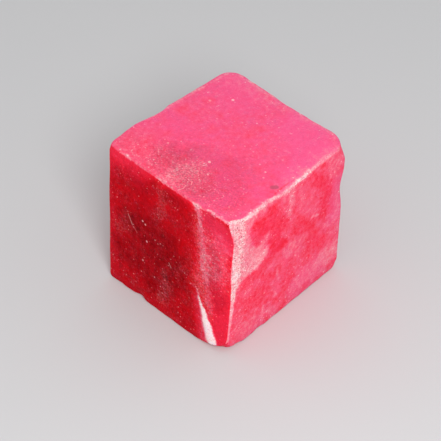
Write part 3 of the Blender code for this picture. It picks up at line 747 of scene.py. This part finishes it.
def block_point(place):
    """Where a place on the grid lies on the worn block, with its sides set back."""
    east, north, _ = map(crowded, place)
    height, stepped = row(place.z, east, north)
    columns = {side: column(side, place[side in ("west", "east")], height) for side in CREASES}
    x, = read([(-1, columns["south"][0]), (1, columns["north"][0])], north)
    y, = read([(-1, columns["west"][0]), (1, columns["east"][0])], east)
    point = worn(x, y, height)
    for side, (_, depth) in columns.items():
        axis, way = SIDES[side][:2]
        under = (HALF_WIDTH, HALF_DEPTH)[axis] - way * (x, y)[axis]
        if side in LEDGE_DEPTHS:
            depth += stepped * read(LEDGE_DEPTHS[side], (y, x)[axis])[0]
        point[axis] -= way * depth * ease(1 - under / SKIN)
    return point


def leaned(point, corners):
    """Takes a point of the upright block to the stone's leaning sides."""
    east = (point.x / HALF_WIDTH + 1) / 2
    north = (point.y / HALF_DEPTH + 1) / 2
    up = point.z / HEIGHT
    rows = [low.lerp(high, up) for low, high in corners]
    return rows[0].lerp(rows[1], east).lerp(rows[2].lerp(rows[3], east), north)


def swell(point):
    """How far the swellings and dents push a point."""
    push = Vector((0, 0, 0))
    for middle, way, reach, height in SWELLINGS:
        away = math.hypot(*((a - b) / r for a, b, r in zip(point, middle, reach)))
        if away < 1:
            push += Vector(way).normalized() * (height * ease(1 - away))
    return push


def soften(shares):
    """A smooth step from 0 to 1 for many values at once."""
    shares = shares.clip(0, 1)
    return shares * shares * (3 - 2 * shares)


def stroke_share(places, points, soft):
    """How far inside a stroke each place is, from 0 to 1."""
    best = numpy.zeros(len(places))
    for (*first, wide), (*last, wider) in zip(points, points[1:]):
        way = numpy.subtract(last, first)
        along = ((places - first) @ way / (way @ way)).clip(0, 1)
        apart = numpy.linalg.norm(places - first - along[:, None] * way, axis=1)
        best = numpy.maximum(best, soften(1 - (apart - wide - (wider - wide) * along) / soft))
    return best


def paint(stone):
    """Lays the coats on the stone's points."""
    stone.normal_update()
    places = numpy.array([vert.co for vert in stone.verts])
    normals = numpy.array([vert.normal for vert in stone.verts])
    sides = list(SIDES)
    ways = numpy.array([side_plane(side)[0] for side in sides])
    facing = (normals @ ways.T).argmax(axis=1)
    noise.seed_set(SEED)
    wander = numpy.zeros_like(places)
    for size, height in RAGGED:
        waves = [noise.noise_vector(vert.co / size) for vert in stone.verts]
        wander += height * numpy.array(waves)
    clouds = numpy.array(
        [sum(high * wobble(vert.co, broad) for broad, high in CLOUDS) for vert in stone.verts]
    )
    for name, (start, *layers) in COATS.items():
        values, heights = numpy.array([start[side] for side in sides]).T
        coat = values[facing] + clouds * heights[facing]
        for side, strokes in layers:
            own = slice(None) if side == "any" else facing == sides.index(side)
            for value, laid, soft, ragged, points in strokes:
                spots = (places + ragged * wander)[own]
                if side != "any":
                    spots = numpy.delete(spots, SIDES[side][0], axis=1)
                coat[own] += laid * stroke_share(spots, points, soft) * (value - coat[own])
        layer = stone.verts.layers.float.new(name)
        for vert, value in zip(stone.verts, coat):
            vert[layer] = value


def facet_plane(points):
    """A point on a ground facet, and the way that it faces."""
    first, second, third = map(Vector, points)
    normal = (second - first).cross(third - first).normalized()
    if normal.dot(first - Vector((0, 0, HEIGHT / 2))) < 0:
        normal.negate()
    return first, normal


def grind(stone):
    """Grinds the facets flat."""
    for points in FACETS.values():
        first, normal = facet_plane(points)
        for vert in stone.verts:
            proud = (vert.co - first).dot(normal)
            if proud > 0:
                vert.co -= normal * proud


def bite(stone):
    """Takes the bites out of the sides and edges."""
    for middle, radius in BITES:
        middle = Vector(middle)
        for vert in stone.verts:
            away = vert.co - middle
            if away.length < radius:
                vert.co = middle + away.normalized() * radius


def roughen(stone, relief):
    """Gives the sides their waves, rougher where they are frosted, their swellings and dents."""
    stone.normal_update()
    veils = stone.verts.layers.float["veil"]
    size, height = FROST_WAVE
    for vert in stone.verts:
        wander = sum(high * wobble(vert.co, broad) for broad, high in WAVES)
        wander += height * max(vert[veils] - FROST_START, 0) * wobble(vert.co, size)
        vert.co += vert.normal * (relief * wander * ease(vert.co.z)) + swell(vert.co)


def shape_stone(relief):
    """The stone as a closed mesh in millimetres, with its coats as layers."""
    stone = bmesh.new()
    stone.loops.layers.uv.new("OFBake")
    bmesh.ops.create_cube(stone, size=2, calc_uvs=True)
    bmesh.ops.subdivide_edges(stone, edges=stone.edges[:], cuts=GRID - 1, use_grid_fill=True)
    corners = [
        (corner("base", ns, ew), corner("top", ns, ew))
        for ns in ("south", "north")
        for ew in ("west", "east")
    ]
    behind = [vert for vert in stone.verts if min(vert.co.x, -vert.co.y) == -1 and vert.co.z > -1]
    for vert in stone.verts:
        vert.co = leaned(block_point(vert.co), corners)
    for _ in range(REST):
        bmesh.ops.smooth_vert(
            stone,
            verts=behind,
            factor=REST_PULL,
            use_axis_x=True,
            use_axis_y=True,
            use_axis_z=True,
        )
    grind(stone)
    bite(stone)
    paint(stone)
    roughen(stone, relief)
    return stone


def to_frame(stone):
    """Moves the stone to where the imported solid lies, in metres, and tells how far it moved."""
    bmesh.ops.scale(stone, vec=(MM, MM, MM), verts=stone.verts[:])
    low, high = STONE_BOX
    shift = Vector((0, 0, 0))
    for axis in range(2):
        places = [vert.co[axis] for vert in stone.verts]
        shift[axis] = (low[axis] + high[axis] - min(places) - max(places)) / 2
    bmesh.ops.translate(stone, vec=shift, verts=stone.verts[:])
    return shift


def put(tree, kind, inputs=(), **settings):
    """Adds a node, sets it up, and feeds its inputs from values or from other nodes' sockets."""
    made = tree.nodes.new("ShaderNode" + kind)
    for name, value in settings.items():
        setattr(made, name, value)
    for key, value in dict(inputs).items():
        if isinstance(value, bpy.types.NodeSocket):
            tree.links.new(value, made.inputs[key])
        else:
            made.inputs[key].default_value = value
    return made


def reckon(tree, operation, first, second=0.0, third=None, clamp=False):
    """The result of a sum on two or three numbers."""
    numbers = {0: first, 1: second} if third is None else {0: first, 1: second, 2: third}
    return put(tree, "Math", numbers, operation=operation, use_clamp=clamp).outputs[0]


def times(tree, first, *others):
    """The product of several numbers."""
    for other in others:
        first = reckon(tree, "MULTIPLY", first, other)
    return first


def spread(tree, value, start, end, low, high, **settings):
    """Runs from low to high while a value goes from start to end, and stays level past them."""
    ends = {"Value": value, 1: start, 2: end, 3: low, 4: high}
    return put(tree, "MapRange", ends, **settings).outputs[0]


def vary(tree, place, scale, detail=2.0, low=0.0, high=1.0, start=0.3, end=0.7):
    """Noise of a scale, in waves per millimetre, spread between two values."""
    made = put(tree, "TexNoise", {"Vector": place, "Scale": scale, "Detail": detail})
    return spread(tree, made.outputs[0], start, end, low, high)


def stroke_group():
    """A node group that draws a soft stroke between two points."""
    tree = bpy.data.node_groups.new("Stroke", "ShaderNodeTree")
    for name in ("Place", "From", "To", "Flatten"):
        tree.interface.new_socket(name, in_out="INPUT", socket_type="NodeSocketVector")
    for name in ("Width", "Soft"):
        tree.interface.new_socket(name, in_out="INPUT", socket_type="NodeSocketFloat")
    tree.interface.new_socket("Share", in_out="OUTPUT", socket_type="NodeSocketFloat")
    given = tree.nodes.new("NodeGroupInput").outputs

    def turn(operation, first, second=(0, 0, 0), out=0):
        made = put(tree, "VectorMath", {0: first, 1: second}, operation=operation)
        return made.outputs[out]

    way = turn("SUBTRACT", given["To"], given["From"])
    away = turn("MULTIPLY", turn("SUBTRACT", given["Place"], given["From"]), given["Flatten"])
    length = turn("DOT_PRODUCT", way, way, out=1)
    along = reckon(tree, "DIVIDE", turn("DOT_PRODUCT", away, way, out=1), length, clamp=True)
    nearest = put(tree, "VectorMath", {0: way, "Scale": along}, operation="SCALE").outputs[0]
    apart = turn("DISTANCE", away, nearest, out=1)
    edge = reckon(tree, "ADD", given["Width"], given["Soft"])
    share = spread(tree, apart, given["Width"], edge, 1.0, 0.0, interpolation_type="SMOOTHSTEP")
    tree.links.new(share, tree.nodes.new("NodeGroupOutput").inputs["Share"])
    return tree


def draw_marks(tree, place, group, marks):
    """The marks on the sides as one share from 0 to 1."""
    total = None
    for side, own in marks.items():
        axis, way, reach = SIDES[side][:3]
        flatten = [1.0, 1.0, 1.0]
        flatten[axis] = FLATTEN
        for *ends, width, soft, strength in own:
            start, end = ((*spot[:axis], way * reach, *spot[axis:]) for spot in ends)
            mark = {"Place": place, "From": start, "To": end, "Flatten": flatten}
            mark.update({"Width": width, "Soft": soft})
            share = put(tree, "Group", mark, node_tree=group).outputs["Share"]
            share = times(tree, share, strength)
            total = share if total is None else reckon(tree, "MAXIMUM", total, share)
    return total


# The stone's noise: its scale in waves per millimetre, its detail, the two values that it runs
# between, and where in the noise they are reached.
MOTTLE = {"scale": 2.4, "detail": 4.0, "low": -0.09, "high": 0.09}
GRAIN = {"scale": 8.0, "low": -0.07, "high": 0.07}
SUGAR = {"scale": 4.2, "detail": 3.0, "low": -0.15, "high": 0.15, "start": 0.36, "end": 0.64}
HAIRS_BREAK = {"scale": 2.2, "start": 0.42, "end": 0.6}
GAPS = {"scale": 8.5, "low": 1.0, "high": 0.0, "start": 0.34, "end": 0.46}
PATCHES = {"scale": 1.1, "detail": 3.0, "low": 0.35, "start": 0.35, "end": 0.65}
SHADES = {"scale": 1.6, "detail": 4.0, "low": 0.85, "high": 1.15}
GRIT = {"scale": 6.5, "low": -1.0}
SANDING = {"scale": 8.0, "detail": 4.0, "start": 0.2, "end": 0.8}
CRUST = {"scale": 14.0, "start": 0.2, "end": 0.8}
HAIRS = {"Scale": 1.7, "Detail": 2.0, "Distortion": 1.2}
CRUMBS = {"Scale": 5.5, "Detail": 4.0, "Roughness": 0.7}
NOISE_MIDDLE = 0.5  # a hair lies where the noise crosses its middle

# What follows the veil or the sparkle: where that starts and ends to count, and the two values
# that it gives there.
LIVELY = (0.0, 0.4, 0.3, 1.0)  # the grain, which is quiet where there is little veil
FROSTED = (0.5, 0.8, 0.0, 1.0)  # the white frost
HAIR = (0.0, 0.022, 1.0, 0.0)  # a hair, by the distance from its middle
GAPPY = (0.0, 0.8, 0.15, 1.0)  # the frost's gaps, which grow with the sparkle
PINK = (0.55, 0.8, 1.0, 0.0)  # the blush, which leaves the thick veil and the frost alone
ROUGHNESS = (0.1, 0.9, 0.32, 0.62)

# Bright grains, both frost grains and painted glints: how many cells there are in a millimetre,
# and a grain's size in its cell.
GLINT_DUST = (5.2, 0.5)
FINE = (3.0, 0.24)
COARSE = (1.0, 0.08)
FINE_SHARE = 0.7  # how many cells have a fine grain, next to dust, and how many a coarse one
COARSE_SHARE = 0.22
GLINT_DUST_STRENGTH = 0.33
FINE_STRENGTH = 0.5
SPECK_CORE = 0.4  # the part of a grain that has its full strength
WEAKEST_SPECK = 0.3

HAIR_STRENGTH = 0.26
GAP_STRENGTH = 0.26  # how much veil a gap in the frost takes away, and how dark it is
GAP_SHADE = 0.4
BLUSH_STRENGTH = 0.5
MIST_START = 0.62  # where in its noise the mist starts, and how much sooner where it sparkles
MIST_SOONER = 0.24
MIST_EDGE = 7.0
MIST_STRENGTH = 0.24
GRIT_STRENGTH = 0.06  # how much the grit shades the stone, and how much more where it sparkles
GRIT_MORE = 0.13
BLACK = (0.0, 0.0, 0.0, 1)
BUMP = 0.6
RUBY_IOR = 1.77
GLOSS = 0.003
GLOW = 0.5
GLOW_REACHES = (1.0, 0.03, 0.045)  # how far red, green and blue travel, as shares of the reach


def specks(tree, place, scale, size, density):
    """Small round dots of uneven strength, in a share of the cells."""
    cells = put(tree, "TexVoronoi", {"Vector": place, "Scale": scale, "Randomness": 1.0})
    dot = spread(tree, cells.outputs["Distance"], size, size * SPECK_CORE, 0.0, 1.0)
    chance = put(tree, "SeparateColor", {0: cells.outputs["Color"]}).outputs
    strong = reckon(tree, "MULTIPLY_ADD", chance[1], 1 - WEAKEST_SPECK, WEAKEST_SPECK)
    chosen = reckon(tree, "LESS_THAN", chance[0], density)
    return times(tree, dot, strong, chosen)


def tint(tree, share, first, second):
    """A colour between two."""
    return put(tree, "Mix", {0: share, 6: first, 7: second}, data_type="RGBA").outputs[2]


def ruby(shape, colours, shift):
    """Cloudy ruby: clear deep red under veils of pink haze and white frost, with painted shade,
    glow, sheen and glints.
    """
    material = bpy.data.materials.new("ruby")
    material.use_nodes = True
    tree = material.node_tree
    surface = tree.nodes["Principled BSDF"]
    own = put(tree, "TexCoord").outputs["Object"]
    mapped = {"Vector": own, "Location": -shift / MM, "Scale": (1 / MM, 1 / MM, 1 / MM)}
    place = put(tree, "Mapping", mapped).outputs[0]
    coats = (put(tree, "Attribute", attribute_name=name).outputs["Fac"] for name in COATS)
    veil, depth, sparkle, blush = coats

    # Clouds and grain thicken or thin the veil.
    mottle = vary(tree, place, **MOTTLE)
    grain = vary(tree, place, **GRAIN)
    lively = spread(tree, veil, *LIVELY)
    total = reckon(tree, "ADD", veil, times(tree, reckon(tree, "ADD", mottle, grain), lively))

    # Coarser grains, like sugar, lie where the stone sparkles and isn't white with frost.
    frosted = spread(tree, veil, *FROSTED)
    sugar = times(tree, vary(tree, place, **SUGAR), times(tree, sparkle, sparkle))
    sugar = times(tree, sugar, reckon(tree, "SUBTRACT", 1.0, frosted))
    total = reckon(tree, "ADD", total, sugar)

    # Hair-thin fibres catch the light where the stone sparkles.
    hairs = put(tree, "TexNoise", {"Vector": place, **HAIRS}).outputs[0]
    middle = reckon(tree, "ABSOLUTE", reckon(tree, "SUBTRACT", hairs, NOISE_MIDDLE))
    ridge = spread(tree, middle, *HAIR)
    fibres = times(tree, ridge, vary(tree, place, **HAIRS_BREAK), sparkle)
    total = reckon(tree, "ADD", total, times(tree, fibres, HAIR_STRENGTH))

    # The frost has gaps between its grains, most of all where it sparkles.
    gaps = vary(tree, place, **GAPS)
    gaps = times(tree, gaps, spread(tree, sparkle, *GAPPY), frosted)
    total = reckon(tree, "SUBTRACT", total, times(tree, gaps, GAP_STRENGTH))

    # Bright grains, both frost grains and painted glints, lie in it, thickly where it sparkles.
    density = times(tree, sparkle, vary(tree, place, **PATCHES))
    glint_dust = times(tree, specks(tree, place, *GLINT_DUST, density), GLINT_DUST_STRENGTH)
    fine = specks(tree, place, *FINE, times(tree, density, FINE_SHARE))
    coarse = specks(tree, place, *COARSE, times(tree, density, COARSE_SHARE))
    group = stroke_group()
    light = draw_marks(tree, place, group, LIGHT_MARKS)
    total = reckon(tree, "ADD", total, glint_dust, clamp=True)

    ramp = put(tree, "ValToRGB", {"Fac": total})
    steps = ramp.color_ramp.elements
    steps[0].color = (*colours.deep, 1)
    steps[1].color = (*colours.frost, 1)
    for spot, middle in ((0.25, colours.red), (0.5, colours.pink), (0.75, colours.rose)):
        steps.new(spot).color = (*middle, 1)
    warm = tint(tree, times(tree, blush, BLUSH_STRENGTH), ramp.outputs[0], (*colours.blush, 1))
    toned = tint(tree, spread(tree, total, *PINK), ramp.outputs[0], warm)
    dark = draw_marks(tree, place, group, DARK_MARKS)
    toned = tint(tree, dark, toned, (*colours.speck, 1))

    # A greyish mist of fine grains lies over that.
    crumbs = put(tree, "TexNoise", {"Vector": place, **CRUMBS}).outputs[0]
    least = reckon(tree, "MULTIPLY_ADD", sparkle, -MIST_SOONER, MIST_START)
    mist = reckon(tree, "MULTIPLY", reckon(tree, "SUBTRACT", crumbs, least), MIST_EDGE, clamp=True)
    mist = times(tree, mist, times(tree, sparkle, MIST_STRENGTH))
    toned = tint(tree, mist, toned, (*colours.mist, 1))

    # The stone darkens with depth, which on the south side is painted shade, unevenly, and from
    # grain to grain.
    shade = times(tree, depth, vary(tree, place, **SHADES))
    shade = reckon(tree, "ADD", shade, times(tree, gaps, GAP_SHADE))
    uneven = reckon(tree, "MULTIPLY_ADD", sparkle, GRIT_MORE, GRIT_STRENGTH)
    shade = reckon(tree, "ADD", shade, times(tree, vary(tree, place, **GRIT), uneven))
    toned = tint(tree, shade, toned, BLACK)

    # Painted glints: its brightest grains shine even where it is dark or under painted shade, and
    # so do its small pale marks.
    glints = times(tree, fine, FINE_STRENGTH)
    for part in (coarse, light):
        glints = reckon(tree, "MAXIMUM", glints, part)
    toned = tint(tree, glints, toned, (*colours.glint, 1))
    tree.links.new(toned, surface.inputs["Base Color"])
    tree.links.new(spread(tree, total, *ROUGHNESS), surface.inputs["Roughness"])

    sanding = vary(tree, place, **SANDING)
    crust = vary(tree, place, **CRUST)
    height = reckon(tree, "ADD", sanding, times(tree, crust, total))
    bump = put(tree, "Bump", {"Height": height, "Strength": BUMP, "Distance": shape.grain})
    tree.links.new(bump.outputs[0], surface.inputs["Normal"])

    surface.inputs["IOR"].default_value = RUBY_IOR
    surface.inputs["Specular IOR Level"].default_value = GLOSS
    surface.subsurface_method = "RANDOM_WALK"
    surface.inputs["Subsurface Weight"].default_value = GLOW
    surface.inputs["Subsurface Radius"].default_value = GLOW_REACHES
    surface.inputs["Subsurface Scale"].default_value = shape.glow_reach
    return material


class OBJECT_OT_ruby_stone(bpy.types.Operator):
    """Makes the stone and its finish"""

    bl_idname = "object.ruby_stone"
    bl_label = "Make the stone"

    def execute(self, context):
        scene = context.scene
        stone = shape_stone(scene.ruby_shape.relief)
        shift = to_frame(stone)
        mesh = bpy.data.meshes.new("ruby_stone")
        stone.to_mesh(mesh)
        stone.free()
        mesh.shade_smooth()
        mesh.materials.append(ruby(scene.ruby_shape, scene.ruby_colours, shift))
        piece = bpy.data.objects.new("ruby_stone", mesh)
        scene.collection.objects.link(piece)
        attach(piece, "root")
        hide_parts(NODE)
        return {"FINISHED"}


# The camera looks at this point of the stone, from this far off and this way round from -Y.
LOOK_AT = (0.468, -1.248, 7.533)
CAMERA_AZIMUTH = 44.288
CAMERA_HEIGHT = 43.594
CAMERA_AWAY = 132.317
LENS = 122.449

# The large soft key light: the way to it from the stone, how far off it is, and its size.
KEY_WAY = (0.60, -0.42, 0.68)
KEY_AWAY = 150.0
KEY_SIZE = 60.0
FLOOR_SIZE = 1500.0
FLOOR_ROUGHNESS = 0.9


def aim(thing, target, away, back):
    """Puts a camera or light off from a point, looking at it."""
    thing.location = (target + back * away) * MM
    thing.rotation_euler = back.to_track_quat("Z", "Y").to_euler()


class SCENE_OT_ruby_stage(bpy.types.Operator):
    """Makes the floor, the lights and the camera"""

    bl_idname = "scene.ruby_stage"
    bl_label = "Make the stage"

    def execute(self, context):
        scene = context.scene
        look = scene.ruby_stage
        floor_mesh = bpy.data.meshes.new("floor")
        made = bmesh.new()
        bmesh.ops.create_grid(made, x_segments=1, y_segments=1, size=FLOOR_SIZE * MM / 2)
        made.to_mesh(floor_mesh)
        made.free()
        paper = bpy.data.materials.new("floor")
        paper.use_nodes = True
        surface = paper.node_tree.nodes["Principled BSDF"]
        surface.inputs["Base Color"].default_value = (*look.floor, 1)
        surface.inputs["Roughness"].default_value = FLOOR_ROUGHNESS
        floor_mesh.materials.append(paper)
        floor = bpy.data.objects.new("floor", floor_mesh)
        scene.collection.objects.link(floor)

        world = bpy.data.worlds.new("studio")
        world.use_nodes = True
        sky = world.node_tree.nodes["Background"]
        sky.inputs["Color"].default_value = (1.0, 1.0, 1.0, 1)
        sky.inputs["Strength"].default_value = look.fill
        scene.world = world

        light = bpy.data.lights.new("key", "AREA")
        light.shape = "DISK"
        light.size = KEY_SIZE * MM
        light.energy = look.key
        key = bpy.data.objects.new("key", light)
        scene.collection.objects.link(key)
        aim(key, Vector((0, 0, HEIGHT / 2)), KEY_AWAY, Vector(KEY_WAY).normalized())

        lens = bpy.data.cameras.new("camera")
        lens.lens = LENS
        lens.clip_start = MM
        camera = bpy.data.objects.new("camera", lens)
        scene.collection.objects.link(camera)
        around, up = math.radians(CAMERA_AZIMUTH), math.radians(CAMERA_HEIGHT)
        level = math.cos(up)
        back = Vector((math.sin(around) * level, -math.cos(around) * level, math.sin(up)))
        aim(camera, Vector(LOOK_AT), CAMERA_AWAY, back)
        scene.camera = camera
        scene.view_settings.view_transform = "Standard"
        return {"FINISHED"}


class VIEW3D_PT_ruby(bpy.types.Panel):
    """Lists the stone's and the stage's settings and makers"""

    bl_label = "Ruby crystal"
    bl_space_type = "VIEW_3D"
    bl_region_type = "UI"
    bl_category = "Ruby"

    def draw(self, context):
        scene = context.scene
        for settings in (scene.ruby_shape, scene.ruby_colours, scene.ruby_stage):
            box = self.layout.box()
            for name in settings.bl_rna.properties.keys():
                if name not in ("rna_type", "name"):
                    box.prop(settings, name)
        self.layout.operator(OBJECT_OT_ruby_stone.bl_idname)
        self.layout.operator(SCENE_OT_ruby_stage.bl_idname)


GROUPS = {"ruby_shape": RubyShape, "ruby_colours": RubyColours, "ruby_stage": RubyStage}
CLASSES = (*GROUPS.values(), OBJECT_OT_ruby_stone, SCENE_OT_ruby_stage, VIEW3D_PT_ruby)


def register():
    for one in CLASSES:
        bpy.utils.register_class(one)
    for name, group in GROUPS.items():
        setattr(bpy.types.Scene, name, PointerProperty(type=group))


def unregister():
    for name in GROUPS:
        delattr(bpy.types.Scene, name)
    for one in reversed(CLASSES):
        bpy.utils.unregister_class(one)


def main():
    register()
    bpy.ops.object.ruby_stone()
    bpy.ops.scene.ruby_stage()


if __name__ == "__main__":
    main()
